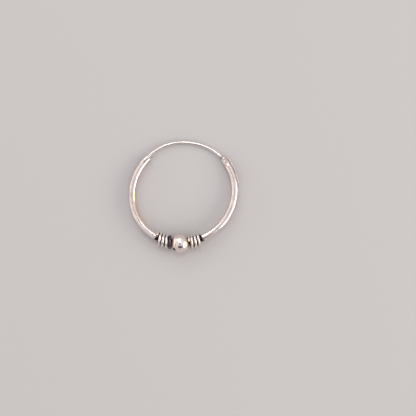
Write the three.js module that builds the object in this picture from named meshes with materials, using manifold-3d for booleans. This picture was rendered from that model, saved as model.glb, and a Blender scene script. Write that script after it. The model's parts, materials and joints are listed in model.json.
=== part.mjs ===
// A hinged hoop earring in silver: a hollow tube bent to a ring, a thin ear wire riveted
// into one end of it, and a ball between two wound coils at the bottom.
//
// Units are millimetres and +Z is up. The earring lies on its side on z = 0, as it would on
// a table, and the origin is under the middle of its bounding box. Directions round the ring
// are in degrees, counter-clockwise seen from above, with 0 along +X.

import * as THREE from 'three';
import { mergeVertices } from 'three/addons/utils/BufferGeometryUtils.js';
import Module from 'manifold-3d';

const wasm = await Module();
wasm.setup();

// ---------------------------------------------------------------- driving dimensions

// The ring's centreline, an ellipse that is a little out of round.
const RING_LONG_RADIUS = 9.49;
const RING_SHORT_RADIUS = 9.04;
const RING_LONG_AXIS_DEG = 34.6;

// The tube. Its axis wanders a little off the ellipse, and it is thinner under the coils.
const TUBE_WALL = 0.16;
const TUBE_NOMINAL_RADIUS = 0.65;
const TUBE_STATIONS = [
  { deg: 130, out: -0.02, radius: 0.64 },
  { deg: 165, out: -0.03, radius: 0.655 },
  { deg: 190, out: 0, radius: 0.655 },
  { deg: 222, out: 0.05, radius: 0.635 },
  { deg: 229, out: 0.03, radius: 0.62 },
  { deg: 238, out: 0.05, radius: 0.61 },
  { deg: 294, out: -0.09, radius: 0.61 },
  { deg: 306, out: -0.06, radius: 0.625 },
  { deg: 326, out: 0, radius: 0.645 },
  { deg: 345, out: 0.02, radius: 0.66 },
  { deg: 366, out: 0.06, radius: 0.64 },
  { deg: 380, out: 0.08, radius: 0.635 },
  { deg: 405, out: 0.06, radius: 0.65 },
];

// The tube's open end. The cut isn't square: the outer wall stops a little short.
const MOUTH_OUTER_DEG = 136;
const MOUTH_INNER_DEG = 133.8;
const LATCH_SLOT_DEG = 9.5;
const LATCH_SLOT_WIDTH = 0.66;
const MOUTH_FOOT_DEG = 134;

// The tube's hinged end, rounded about the rivet and sawn open along its outer side.
const RIVET_DEG = 396.4;
const RIVET_OUT = 0.06;
const NOSE_RADIUS = 0.75;
const NOSE_OUT = 0.1;
const HINGE_SLOT_WIDTH = 0.68;
const HINGE_SLOT_END_DEG = 370.5;
const HINGE_POCKET_RADIUS = 0.47;
const HINGE_LEAN_DEG = 3;
const NOSE_FOOT_DEG = 400;

// The tube is made too long at both ends, and the cuts give it its length.
const TUBE_START_DEG = MOUTH_INNER_DEG - 4;
const TUBE_END_DEG = RIVET_DEG + 8;

// The lower edge of the hinge slot is spread outwards and stands proud of the tube.
const LIP_ROOT_OUT = 0.38;
const LIP_HEIGHT = -0.44;
const LIP_THICKNESS = 0.24;
const LIP_STATIONS = [
  { deg: 369.1, reach: 0.56 },
  { deg: 370, reach: 0.76 },
  { deg: 371.5, reach: 0.86 },
  { deg: 376, reach: 0.9 },
  { deg: 384, reach: 0.95 },
  { deg: 390, reach: 0.98 },
  { deg: 394, reach: 0.96 },
  { deg: 397, reach: 0.92 },
  { deg: 403, reach: 0.9 },
];

// The rivet, set into the tube wall and filed nearly flush. Heights are from its middle.
const RIVET_SHANK_RADIUS = 0.17;
const RIVET_HEAD_RADIUS = 0.25;
const RIVET_HEAD_UNDERSIDE = 0.6;
const RIVET_HEAD_RIM = 0.645;
const RIVET_SHOULDER_RADIUS = 0.15;
const RIVET_SHOULDER = 0.668;
const RIVET_HEAD_CROWN = 0.68;

// The ear wire. It leaves the nose on the tube's axis and ends against the outer wall.
const WIRE_RADIUS = 0.28;
const WIRE_TIP_RADIUS = 0.275;
const EYE_RADIUS = 0.42;
const EYE_THICKNESS = 0.5;
const EAR_WIRE_ROUTE = [
  { deg: 38.5, out: 0.07 },
  { deg: 42, out: 0.07 },
  { deg: 48, out: 0.02 },
  { deg: 54, out: -0.01 },
  { deg: 61, out: -0.05 },
  { deg: 70, out: -0.07 },
  { deg: 80, out: -0.06 },
  { deg: 90, out: -0.01 },
  { deg: 96, out: 0.02 },
  { deg: 103, out: 0.11 },
  { deg: 114, out: 0.14 },
  { deg: 126, out: 0.11 },
  { deg: 136, out: 0.11 },
  { deg: 142, out: 0.13 },
];

// The ball, a thin shell that hangs slightly outside the tube's axis.
const BEAD_DEG = 266.5;
const BEAD_RADIUS = 1.71;
const BEAD_WALL = 0.28;
const BEAD_OUT = 0.16;
const BEAD_HALF_DEG = THREE.MathUtils.radToDeg(Math.asin(BEAD_RADIUS / RING_SHORT_RADIUS));

// The coils, one on each side of the ball and a little loose on the tube. Both are wound the
// same way in space, so their turns run opposite ways round as they near the ball: way is 1
// for outer side, top, inner side, bottom, and -1 for the reverse. A route's rows give the
// angle wound since the outer side, and how far from the ball's middle that is along the
// tube. A leaning coil's outer side is nearer the ball, and its inner side further away.
const COIL_WIRE_RADIUS = 0.24;
const COIL_HELIX_RADIUS = 1.04;
const COIL_OUT = 0.1;
const LEFT_COIL = {
  side: -1,
  way: 1,
  lean: 0.32,
  route: [
    { deg: 108, away: 4.31 },
    { deg: 1640, away: 1.67 },
  ],
};
const RIGHT_COIL = {
  side: 1,
  way: -1,
  lean: 0.04,
  route: [
    { deg: 80, away: 3.8 },
    { deg: 1080, away: 2.02 },
    { deg: 1260, away: 1.73 },
    { deg: 1345, away: 1.69 },
  ],
};

// Clearances: between pieces that touch or turn on each other, and round the rivet's heads.
const GAP = 0.03;
const SEAT_GAP = 0.015;

// Cutting shapes run this far past what they cut, along the ring and off its centreline.
const OVERRUN_DEG = 4;
const CUT_REACH = 2;

// How finely round things are divided.
const TUBE_SIDES = 16;
const BORE_SIDES = 12;
const TUBE_STEPS = 50;
const CUT_STEPS = 8;
const NOSE_STEPS = 16;
const WIRE_SIDES = 12;
const WIRE_STEPS = 32;
const LIP_SIDES = 10;
const LIP_STEPS = 24;
const COIL_SIDES = 8;
const COIL_STEPS_PER_TURN = 18;
const COIL_LENGTH_DIVISIONS = 800;
const BEAD_SIDES = 26;
const CHANNEL_SIDES = 20;
const RIVET_SIDES = 20;
const RESTING_PASSES = 8;

// ---------------------------------------------------------------- materials

const tubeSilver = new THREE.MeshStandardMaterial({ color: 0xd9ccc6, roughness: 0.2, metalness: 1 });
const wireSilver = new THREE.MeshStandardMaterial({ color: 0xe6e2dc, roughness: 0.16, metalness: 1 });
const beadSilver = new THREE.MeshStandardMaterial({ color: 0xddd3cc, roughness: 0.1, metalness: 1 });
const coilSilver = new THREE.MeshStandardMaterial({ color: 0x9d948f, roughness: 0.32, metalness: 1 });

// ---------------------------------------------------------------- the ring's plane

// The centreline's point in a direction, with the outward normal of the ellipse there.
function ringAt(deg) {
  const turn = THREE.MathUtils.degToRad(RING_LONG_AXIS_DEG);
  const angle = THREE.MathUtils.degToRad(deg) - turn;
  const t = Math.atan2(RING_LONG_RADIUS * Math.sin(angle), RING_SHORT_RADIUS * Math.cos(angle));
  const point = new THREE.Vector3(RING_LONG_RADIUS * Math.cos(t), RING_SHORT_RADIUS * Math.sin(t), 0);
  const normal = new THREE.Vector3(RING_SHORT_RADIUS * Math.cos(t), RING_LONG_RADIUS * Math.sin(t), 0);
  const up = new THREE.Vector3(0, 0, 1);
  return {
    point: point.applyAxisAngle(up, turn),
    outward: normal.normalize().applyAxisAngle(up, turn),
  };
}

// A point given by its direction, its distance outside the centreline and its height.
function place(deg, out = 0, height = 0) {
  const { point, outward } = ringAt(deg);
  return point.addScaledVector(outward, out).setZ(height);
}

// A value read off a table of rows with a deg column, with straight lines between the rows.
function alongTable(rows, column, deg) {
  const next = rows.findIndex((row) => row.deg >= deg);
  if (next < 0) return rows[rows.length - 1][column];
  if (next === 0) return rows[0][column];
  const before = rows[next - 1];
  const share = (deg - before.deg) / (rows[next].deg - before.deg);
  return THREE.MathUtils.lerp(before[column], rows[next][column], share);
}

// A point on the tube's own axis.
function tubeAxis(deg) {
  return place(deg, alongTable(TUBE_STATIONS, 'out', deg));
}

// Where the rivet crosses the ring's plane, with the ways outward and ahead past the nose.
function rivetFrame() {
  const { outward } = ringAt(RIVET_DEG);
  return { centre: place(RIVET_DEG, RIVET_OUT), outward, ahead: new THREE.Vector3(0, 0, 1).cross(outward) };
}

// A line along the ring between two directions, at a distance outside the centreline.
class RingArc extends THREE.Curve {
  constructor(fromDeg, toDeg, out = 0, height = 0) {
    super();
    Object.assign(this, { fromDeg, toDeg, out, height });
  }

  getPoint(t, target = new THREE.Vector3()) {
    return target.copy(place(THREE.MathUtils.lerp(this.fromDeg, this.toDeg, t), this.out, this.height));
  }
}

// ---------------------------------------------------------------- solids

function toSolid(geometry) {
  const bare = geometry.clone();
  bare.deleteAttribute('normal');
  bare.deleteAttribute('uv');
  const welded = mergeVertices(bare, 1e-5);
  return new wasm.Manifold(new wasm.Mesh({
    numProp: 3,
    vertProperties: new Float32Array(welded.attributes.position.array),
    triVerts: new Uint32Array(welded.index.array),
  }));
}

function toMesh(solid, name, material) {
  const { vertProperties, triVerts } = solid.getMesh();
  const geometry = new THREE.BufferGeometry();
  geometry.setAttribute('position', new THREE.BufferAttribute(vertProperties, 3));
  geometry.setIndex(new THREE.BufferAttribute(triVerts, 1));
  geometry.computeVertexNormals();
  const mesh = new THREE.Mesh(geometry, material);
  mesh.name = name;
  return mesh;
}

// A round or oval section, with its middle moved along its second axis.
function ovalShape(halfThickness, halfWidth, sides, shift = 0) {
  const corners = Array.from({ length: sides }, (_, side) => {
    const angle = (2 * Math.PI * side) / sides;
    return new THREE.Vector2(halfThickness * Math.cos(angle), halfWidth * Math.sin(angle) + shift);
  });
  return new THREE.Shape(corners);
}

function sweep(shape, curve, steps) {
  return new THREE.ExtrudeGeometry(shape, { extrudePath: curve, steps });
}

// Moves each corner of a geometry swept along the ring, by a function of its direction.
function reshapeAlongRing(geometry, moveCorner) {
  const position = geometry.attributes.position;
  const corner = new THREE.Vector3();
  for (let i = 0; i < position.count; i += 1) {
    corner.fromBufferAttribute(position, i);
    let deg = THREE.MathUtils.radToDeg(Math.atan2(corner.y, corner.x));
    while (deg < 90) deg += 360;
    moveCorner(corner, deg);
    position.setXYZ(i, corner.x, corner.y, corner.z);
  }
  return geometry;
}

// A round bar along the tube's axis whose radius is the tube's, less a constant depth.
function ringBar(fromDeg, toDeg, sides, steps, depth) {
  const section = ovalShape(TUBE_NOMINAL_RADIUS, TUBE_NOMINAL_RADIUS, sides);
  const bar = sweep(section, new RingArc(fromDeg, toDeg), steps);
  reshapeAlongRing(bar, (corner, deg) => {
    const radius = alongTable(TUBE_STATIONS, 'radius', deg) - depth;
    corner.sub(place(deg)).multiplyScalar(radius / TUBE_NOMINAL_RADIUS).add(tubeAxis(deg));
  });
  return toSolid(bar);
}

// A flat plate with an outline in the ring's plane, half above the plane and half below.
function plate(corners, thickness, turn = (block) => block) {
  const outline = new THREE.Shape(corners.map(({ x, y }) => new THREE.Vector2(x, y)));
  const block = new THREE.ExtrudeGeometry(outline, { depth: thickness, bevelEnabled: false });
  return toSolid(turn(block.translate(0, 0, -thickness / 2)));
}

function degreesBetween(from, to, count) {
  return Array.from({ length: count + 1 }, (_, i) => THREE.MathUtils.lerp(from, to, i / count));
}

// Leans a geometry made square to the ring's plane at the rivet, as the rivet leans.
function leanWithRivet(geometry) {
  const { centre, ahead } = rivetFrame();
  const lean = new THREE.Quaternion().setFromAxisAngle(ahead, -THREE.MathUtils.degToRad(HINGE_LEAN_DEG));
  return geometry.translate(-centre.x, -centre.y, 0).applyQuaternion(lean).translate(centre.x, centre.y, 0);
}

// A turned part on the rivet's axis, from a profile of [radius, height] corners.
function turnedOnRivet(profile) {
  const corners = profile.map(([radius, height]) => new THREE.Vector2(radius, height));
  const { centre } = rivetFrame();
  const turned = new THREE.LatheGeometry(corners, RIVET_SIDES).rotateX(Math.PI / 2);
  return toSolid(leanWithRivet(turned.translate(centre.x, centre.y, 0)));
}

function pinProfile(radius, halfLength) {
  return [[0, -halfLength], [radius, -halfLength], [radius, halfLength], [0, halfLength]];
}

function turnedOver(profile) {
  return profile.map(([radius, height]) => [radius, -height]).reverse();
}

// The hole that the rivet's shank goes through, in the tube's walls and the wire's eye.
function shankHole() {
  return turnedOnRivet(pinProfile(RIVET_SHANK_RADIUS + GAP, CUT_REACH));
}

// ---------------------------------------------------------------- hoop tube

// Everything past the rounded nose, to be cut off the tube.
function beyondNose() {
  const { centre, outward, ahead } = rivetFrame();
  const at = (forward, out) => centre.clone().addScaledVector(ahead, forward).addScaledVector(outward, out);
  const round = degreesBetween(90, -90, NOSE_STEPS).map((deg) => {
    const angle = THREE.MathUtils.degToRad(deg);
    return at(NOSE_RADIUS * Math.cos(angle), NOSE_OUT + NOSE_RADIUS * Math.sin(angle));
  });
  const beyond = [at(0, -CUT_REACH), at(CUT_REACH, -CUT_REACH), at(CUT_REACH, CUT_REACH), at(0, CUT_REACH)];
  return plate([...round, ...beyond], 2 * CUT_REACH);
}

// Everything past the slanted cut of the mouth.
function beyondMouth() {
  const slant = (MOUTH_OUTER_DEG - MOUTH_INNER_DEG) / (2 * TUBE_NOMINAL_RADIUS);
  const middle = (MOUTH_OUTER_DEG + MOUTH_INNER_DEG) / 2;
  const far = middle - 3 * OVERRUN_DEG;
  const corners = [
    place(middle - slant * CUT_REACH, -CUT_REACH),
    place(middle + slant * CUT_REACH, CUT_REACH),
    place(far, CUT_REACH),
    place(far, -CUT_REACH),
  ];
  return plate(corners, 2 * CUT_REACH);
}

// The outline of a saw cut through the outer wall, from the tube's middle outwards.
function outerCut(fromDeg, toDeg) {
  const degrees = degreesBetween(fromDeg, toDeg, CUT_STEPS);
  const inner = degrees.map((deg) => place(deg));
  const outer = degrees.map((deg) => place(deg, CUT_REACH)).reverse();
  return [...inner, ...outer];
}

// The saw cut in the outer wall that lets the wire's tip swing into the mouth.
function latchSlot() {
  const end = MOUTH_OUTER_DEG + LATCH_SLOT_DEG;
  return plate(outerCut(MOUTH_INNER_DEG - OVERRUN_DEG, end), LATCH_SLOT_WIDTH);
}

// The saw cut along the hinged end, in the plane that the wire swings in.
function hingeSlot() {
  return plate(outerCut(HINGE_SLOT_END_DEG, TUBE_END_DEG + OVERRUN_DEG), HINGE_SLOT_WIDTH, leanWithRivet);
}

// The spread lower edge of the hinge slot, a flattened ridge that grows towards the nose.
function spreadLip() {
  const halfWidth = LIP_ROOT_OUT;
  const section = ovalShape(LIP_THICKNESS / 2, halfWidth, LIP_SIDES, -halfWidth);
  const first = LIP_STATIONS[0].deg;
  const last = LIP_STATIONS[LIP_STATIONS.length - 1].deg;
  const ridge = sweep(section, new RingArc(first, last, LIP_ROOT_OUT, LIP_HEIGHT), LIP_STEPS);
  reshapeAlongRing(ridge, (corner, deg) => {
    const root = place(deg, LIP_ROOT_OUT, LIP_HEIGHT);
    const height = corner.z;
    const width = alongTable(LIP_STATIONS, 'reach', deg) - LIP_ROOT_OUT;
    corner.sub(root).multiplyScalar(width / (2 * halfWidth)).add(root).setZ(height);
  });
  return toSolid(ridge);
}

function hoopTube() {
  const outside = ringBar(TUBE_START_DEG, TUBE_END_DEG, TUBE_SIDES, TUBE_STEPS, 0);
  const boreStart = TUBE_START_DEG - OVERRUN_DEG;
  const bore = ringBar(boreStart, TUBE_END_DEG + OVERRUN_DEG, BORE_SIDES, TUBE_STEPS, TUBE_WALL);
  const pocket = turnedOnRivet(pinProfile(HINGE_POCKET_RADIUS, HINGE_SLOT_WIDTH / 2));
  const seatRadius = RIVET_HEAD_RADIUS + SEAT_GAP;
  const seatBottom = RIVET_HEAD_UNDERSIDE - SEAT_GAP;
  const headSeat = [[0, seatBottom], [seatRadius, seatBottom], [seatRadius, CUT_REACH], [0, CUT_REACH]];
  return outside
    .add(spreadLip())
    .subtract(bore)
    .subtract(beyondNose())
    .subtract(beyondMouth())
    .subtract(latchSlot())
    .subtract(hingeSlot())
    .subtract(pocket)
    .subtract(shankHole())
    .subtract(turnedOnRivet(headSeat))
    .subtract(turnedOnRivet(turnedOver(headSeat)));
}

// ---------------------------------------------------------------- hinge rivet

function hingeRivet() {
  const upperHalf = [
    [RIVET_SHANK_RADIUS, RIVET_HEAD_UNDERSIDE],
    [RIVET_HEAD_RADIUS, RIVET_HEAD_UNDERSIDE],
    [RIVET_HEAD_RADIUS, RIVET_HEAD_RIM],
    [RIVET_SHOULDER_RADIUS, RIVET_SHOULDER],
    [0, RIVET_HEAD_CROWN],
  ];
  return turnedOnRivet([...turnedOver(upperHalf), ...upperHalf]);
}

// ---------------------------------------------------------------- ear wire

function earWire() {
  const route = new THREE.CatmullRomCurve3(EAR_WIRE_ROUTE.map(({ deg, out }) => place(deg, out)));
  const bar = toSolid(sweep(ovalShape(WIRE_RADIUS, WIRE_RADIUS, WIRE_SIDES), route, WIRE_STEPS));
  const end = route.getPoint(1);
  const tip = new THREE.SphereGeometry(WIRE_TIP_RADIUS, WIRE_SIDES, WIRE_SIDES / 2);
  const eye = turnedOnRivet(pinProfile(EYE_RADIUS, EYE_THICKNESS / 2));
  return bar.add(toSolid(tip.translate(end.x, end.y, end.z))).add(eye).subtract(shankHole());
}

// ---------------------------------------------------------------- bead

// A hollow ball whose two holes follow the tube.
function bead() {
  const { outward } = ringAt(BEAD_DEG);
  const centre = place(BEAD_DEG, BEAD_OUT);
  const ball = (radius) => {
    const sphere = new THREE.SphereGeometry(radius, BEAD_SIDES, BEAD_SIDES / 2);
    sphere.rotateX(Math.PI / 2).rotateZ(Math.atan2(outward.y, outward.x));
    return toSolid(sphere.translate(centre.x, centre.y, 0));
  };
  const start = BEAD_DEG - BEAD_HALF_DEG - OVERRUN_DEG;
  const end = BEAD_DEG + BEAD_HALF_DEG + OVERRUN_DEG;
  const channel = ringBar(start, end, CHANNEL_SIDES, CUT_STEPS, -GAP);
  return ball(BEAD_RADIUS).subtract(ball(BEAD_RADIUS - BEAD_WALL)).subtract(channel);
}

// ---------------------------------------------------------------- coils

// A helix round the tube, by the table that its coil gives.
class CoilCurve extends THREE.Curve {
  constructor(plan) {
    super();
    this.plan = plan;
    this.arcLengthDivisions = COIL_LENGTH_DIVISIONS;
  }

  getPoint(t, target = new THREE.Vector3()) {
    const { side, way, lean, route } = this.plan;
    const windDeg = THREE.MathUtils.lerp(route[0].deg, route[route.length - 1].deg, t);
    const angle = THREE.MathUtils.degToRad(way * windDeg);
    const away = alongTable(route, 'away', windDeg) - lean * Math.cos(angle);
    const deg = BEAD_DEG + side * THREE.MathUtils.radToDeg(away / ringAt(BEAD_DEG).point.length());
    const out = alongTable(TUBE_STATIONS, 'out', deg) + COIL_OUT + COIL_HELIX_RADIUS * Math.cos(angle);
    return target.copy(place(deg, out, COIL_HELIX_RADIUS * Math.sin(angle)));
  }
}

function coil(plan) {
  const woundDeg = plan.route[plan.route.length - 1].deg - plan.route[0].deg;
  const steps = Math.round((COIL_STEPS_PER_TURN * woundDeg) / 360);
  const section = ovalShape(COIL_WIRE_RADIUS, COIL_WIRE_RADIUS, COIL_SIDES);
  return toSolid(sweep(section, new CoilCurve(plan), steps));
}

// ---------------------------------------------------------------- how it lies

// The upward direction of a flat surface that carries three balls fixed to the earring.
function restingUp(balls) {
  const up = new THREE.Vector3(0, 0, 1);
  for (let pass = 0; pass < RESTING_PASSES; pass += 1) {
    const feet = balls.map(({ at, radius }) => at.clone().addScaledVector(up, -radius));
    up.copy(new THREE.Plane().setFromCoplanarPoints(...feet).normal);
    if (up.z < 0) up.negate();
  }
  return up;
}

const earring = new THREE.Group();
earring.add(
  toMesh(hoopTube(), 'hoop_tube', tubeSilver),
  toMesh(hingeRivet(), 'hinge_rivet', tubeSilver),
  toMesh(earWire(), 'ear_wire', wireSilver),
  toMesh(bead(), 'bead', beadSilver),
  toMesh(coil(LEFT_COIL), 'coil_left', coilSilver),
  toMesh(coil(RIGHT_COIL), 'coil_right', coilSilver),
);

const up = restingUp([
  { at: place(BEAD_DEG, BEAD_OUT), radius: BEAD_RADIUS },
  { at: tubeAxis(MOUTH_FOOT_DEG), radius: alongTable(TUBE_STATIONS, 'radius', MOUTH_FOOT_DEG) },
  { at: tubeAxis(NOSE_FOOT_DEG), radius: alongTable(TUBE_STATIONS, 'radius', NOSE_FOOT_DEG) },
]);
earring.quaternion.setFromUnitVectors(up, new THREE.Vector3(0, 0, 1));
const box = new THREE.Box3().setFromObject(earring, true);
const middle = box.getCenter(new THREE.Vector3());
earring.position.set(-middle.x, -middle.y, -box.min.z);

export default earring;
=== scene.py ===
"""A hinged hoop earring in silver, lying on its side.

A hollow tube is bent to a ring. A thin ear wire is riveted into a saw cut at one end of it, and
its tip springs into the other end. A hollow ball sits at the bottom between two wound coils.

Every piece is shaped in the ring's own frame: millimetres, with the centreline in the plane
z = 0, the middle of the ring at the origin, and directions round it in degrees. It is then set
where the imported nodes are.
"""

import json
import math

import bmesh
import bpy
import numpy as np
from mathutils import Matrix, Quaternion, Vector


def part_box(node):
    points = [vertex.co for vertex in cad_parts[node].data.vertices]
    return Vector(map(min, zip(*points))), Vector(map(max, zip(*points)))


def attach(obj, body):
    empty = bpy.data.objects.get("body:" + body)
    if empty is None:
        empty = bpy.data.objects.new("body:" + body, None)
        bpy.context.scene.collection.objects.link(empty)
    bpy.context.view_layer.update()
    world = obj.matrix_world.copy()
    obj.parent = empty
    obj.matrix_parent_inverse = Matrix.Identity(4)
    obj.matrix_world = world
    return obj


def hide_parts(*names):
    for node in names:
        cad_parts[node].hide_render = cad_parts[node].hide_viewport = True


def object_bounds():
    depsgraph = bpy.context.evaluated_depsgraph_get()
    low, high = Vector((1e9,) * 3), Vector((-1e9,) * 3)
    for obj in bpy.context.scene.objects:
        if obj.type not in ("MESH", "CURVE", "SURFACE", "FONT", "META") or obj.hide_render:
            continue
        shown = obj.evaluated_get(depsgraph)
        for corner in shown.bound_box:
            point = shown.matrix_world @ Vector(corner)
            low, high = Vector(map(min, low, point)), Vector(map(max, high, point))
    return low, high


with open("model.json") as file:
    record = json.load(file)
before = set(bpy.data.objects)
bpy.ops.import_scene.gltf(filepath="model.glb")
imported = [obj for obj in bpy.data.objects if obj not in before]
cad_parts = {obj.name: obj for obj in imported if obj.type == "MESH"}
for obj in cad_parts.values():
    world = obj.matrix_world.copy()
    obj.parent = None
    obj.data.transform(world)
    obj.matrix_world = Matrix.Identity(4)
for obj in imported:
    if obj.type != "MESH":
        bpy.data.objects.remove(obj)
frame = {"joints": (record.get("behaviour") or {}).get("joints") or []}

bl_info = {
    "name": "Hinged Hoop Earring",
    "version": (1, 0, 0),
    "blender": (4, 5, 0),
    "location": "3D View > Sidebar > Hoop Earring",
    "description": "Builds a silver hoop earring with a riveted ear wire, a ball and two coils",
    "category": "Add Mesh",
}

MM = 0.001  # metres in a millimetre
CAD_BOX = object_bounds()
HINGE = next(joint for joint in frame["joints"] if joint["name"] == "wire_hinge")

# ---------------------------------------------------------------- routes and marks, in millimetres

# The tube: direction in degrees, how far its axis runs outside the ring's ellipse, radius.
TUBE_STATIONS = np.array([
    (130, -0.02, 0.64),
    (165, -0.03, 0.655),
    (190, 0.0, 0.655),
    (222, 0.05, 0.635),
    (229, 0.03, 0.62),
    (238, 0.05, 0.61),
    (294, -0.09, 0.61),
    (306, -0.06, 0.625),
    (326, 0.0, 0.645),
    (345, 0.02, 0.66),
    (366, 0.06, 0.64),
    (380, 0.08, 0.635),
    (405, 0.06, 0.65),
])

# The spread lower edge of the hinge slot: direction, how far out it reaches.
LIP_REACH = np.array([
    (369.1, 0.56),
    (370, 0.76),
    (371.5, 0.86),
    (376, 0.9),
    (384, 0.95),
    (390, 0.98),
    (394, 0.96),
    (397, 0.92),
    (403, 0.9),
])

# The ear wire: direction, how far outside the ring's ellipse.
WIRE_ROUTE = np.array([
    (38.5, 0.07),
    (42, 0.07),
    (48, 0.02),
    (54, -0.01),
    (61, -0.05),
    (70, -0.07),
    (80, -0.06),
    (90, -0.01),
    (96, 0.02),
    (103, 0.11),
    (114, 0.14),
    (126, 0.11),
    (136, 0.11),
    (142, 0.13),
])

# Where pliers have pinched the ear wire: direction, how wide along it in degrees, depth as a
# share of the wire's radius, and which side of the wire in degrees from outwards.
WIRE_PINCHES = (
    (91.9, 0.9, 0.13, 60),
    (94.2, 1.1, -0.1, 95),
    (96.6, 1.0, 0.14, 75),
    (98.7, 1.4, -0.12, 110),
    (101.4, 0.8, 0.15, 80),
    (95.4, 1.6, 0.1, 250),
    (100.2, 1.8, 0.11, 285),
)

# The coils, wound as mirror images: which side of the ball each is on, how far it leans, how
# black its turn by the ball is, and its route. A route's rows give the angle wound from the
# outer side and the distance from the ball's middle.
COILS = {
    "coil_left": {
        "side": -1, "lean": 0.32, "dark_turn": 0.47,
        "route": np.array([(108, 4.31), (1640, 1.67)]),
    },
    "coil_right": {
        "side": 1, "lean": 0.04, "dark_turn": 0.2,
        "route": np.array([(80, 3.8), (1080, 2.02), (1260, 1.73), (1345, 1.69)]),
    },
}

# Marked stretches of the ring, by direction: where each begins, is full, begins to fade and is
# gone.
# Black under the coils and in the gaps by the ball: oxide, and painted shade between the parts.
UNDER_COILS = (239.5, 241.5, 291.5, 293.5)
SPLIT = (136, 136.3, 142, 143)
CREST_DARKENING = (138, 141, 150, 170)
PLIER_MARKS = (90.5, 92, 101, 102.5)
# Stretches where a warm glint is painted: a painted reflection on the inner side and a painted highlight by
# the hinge slot.
PAINTED_GLINT_INNER_SIDE = (168, 180, 205, 236)
PAINTED_GLINT_BY_SLOT = (372, 378, 392, 404)

REACH = 2.0  # how far from the tube's axis a cutting tool reaches
OVERRUN = 4  # degrees round the ring that a cut goes past what it cuts

# ---------------------------------------------------------------- properties


def size(name, description, millimetres, lowest=0.0):
    """A length property, given in millimetres and kept in metres."""
    return bpy.props.FloatProperty(
        name=name, description=description, default=millimetres * MM, min=lowest, unit="LENGTH",
        precision=6,
    )


def angle(name, description, degrees):
    """An angle property, given in degrees and kept in radians."""
    return bpy.props.FloatProperty(
        name=name, description=description, default=math.radians(degrees), unit="ROTATION"
    )


def linear(code):
    """A linear colour from an sRGB hex code such as #e6e1dc."""
    channels = (int(code[i : i + 2], 16) / 255 for i in (1, 3, 5))
    return tuple(c / 12.92 if c <= 0.04045 else ((c + 0.055) / 1.055) ** 2.4 for c in channels)


def colour(name, description, code):
    """A colour property, given as an sRGB hex code."""
    return bpy.props.FloatVectorProperty(
        name=name, description=description, default=linear(code), min=0.0, max=1.0, subtype="COLOR"
    )


class HoopRingSettings(bpy.types.PropertyGroup):
    """The ellipse that the whole earring follows."""

    long_radius: size("Long Radius", "Half the ring's long axis", 9.49)
    short_radius: size("Short Radius", "Half the ring's short axis", 9.04)
    long_axis: angle("Long Axis", "Direction of the ring's long axis", 34.6)


class HoopTubeSettings(bpy.types.PropertyGroup):
    """The hollow tube, with its open mouth and its hinged nose."""

    wall: size("Wall", "Thickness of the tube's wall", 0.16)
    mouth_outer: angle("Mouth Outer", "Where the mouth's outer wall ends", 136.0)
    mouth_inner: angle("Mouth Inner", "Where the mouth's inner wall ends", 133.8)
    latch_slot: angle("Latch Slot", "How far the mouth's saw cut runs along the tube", 9.5)
    latch_slot_width: size("Latch Slot Width", "Width of the mouth's saw cut", 0.66)
    nose_radius: size("Nose Radius", "Radius of the rounded end about the rivet", 0.75)
    nose_out: size("Nose Offset", "How far the nose's middle sits outside the ring's ellipse", 0.1)
    hinge_slot_end: angle("Hinge Slot End", "Where the hinge's saw cut stops", 370.5)
    hinge_slot_width: size("Hinge Slot Width", "Width of the hinge's saw cut", 0.68)
    lip_thickness: size("Lip Thickness", "Thickness of the slot's spread lower edge", 0.24)
    edge: size("Edge Rounding", "How far polishing has rounded the cut edges", 0.018)


class HoopHingeSettings(bpy.types.PropertyGroup):
    """The rivet that the ear wire turns on."""

    direction: angle("Direction", "Where the rivet is round the ring", 396.4)
    out: size("Offset", "How far the rivet sits outside the ring's ellipse", 0.06)
    lean: angle("Lean", "How far the rivet leans outwards at its top", 3.0)
    shank_radius: size("Shank Radius", "Radius of the rivet's shank", 0.17)
    head_radius: size("Head Radius", "Radius of the rivet's heads", 0.25)
    head_rim: size("Head Rim", "Height of a head's rim from the rivet's middle", 0.645)
    head_crown: size("Head Crown", "Height of a head's crown from the rivet's middle", 0.68)
    seat_gap: size("Seat Gap", "Hairline gap round the heads", 0.015)
    turning_gap: size("Turning Gap", "Clearance between the pieces that turn", 0.03)


class HoopWireSettings(bpy.types.PropertyGroup):
    """The thin wire that goes through the ear."""

    radius: size("Radius", "Radius of the ear wire", 0.28)
    tip_radius: size("Tip Radius", "Radius of the wire's rounded tip", 0.275)
    eye_radius: size("Eye Radius", "Radius of the flattened eye on the rivet", 0.42)
    eye_thickness: size("Eye Thickness", "Thickness of the flattened eye", 0.5)


class HoopBallSettings(bpy.types.PropertyGroup):
    """The hollow ball at the bottom of the ring."""

    direction: angle("Direction", "Where the ball is round the ring", 266.5)
    out: size("Offset", "How far the ball's middle sits outside the ring's ellipse", 0.16)
    radius: size("Radius", "Radius of the ball", 1.71)
    wall: size("Wall", "Thickness of the ball's shell", 0.28)
    clearance: size("Clearance", "Gap between the tube and the ball's holes", 0.03)


class HoopCoilSettings(bpy.types.PropertyGroup):
    """The two coils of round wire beside the ball."""

    wire_radius: size("Wire Radius", "Radius of the coils' wire", 0.24)
    helix_radius: size("Helix Radius", "Radius of the coils, to the middle of the wire", 1.04)
    out: size("Offset", "How far the coils sit outside the tube's axis", 0.1)


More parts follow.
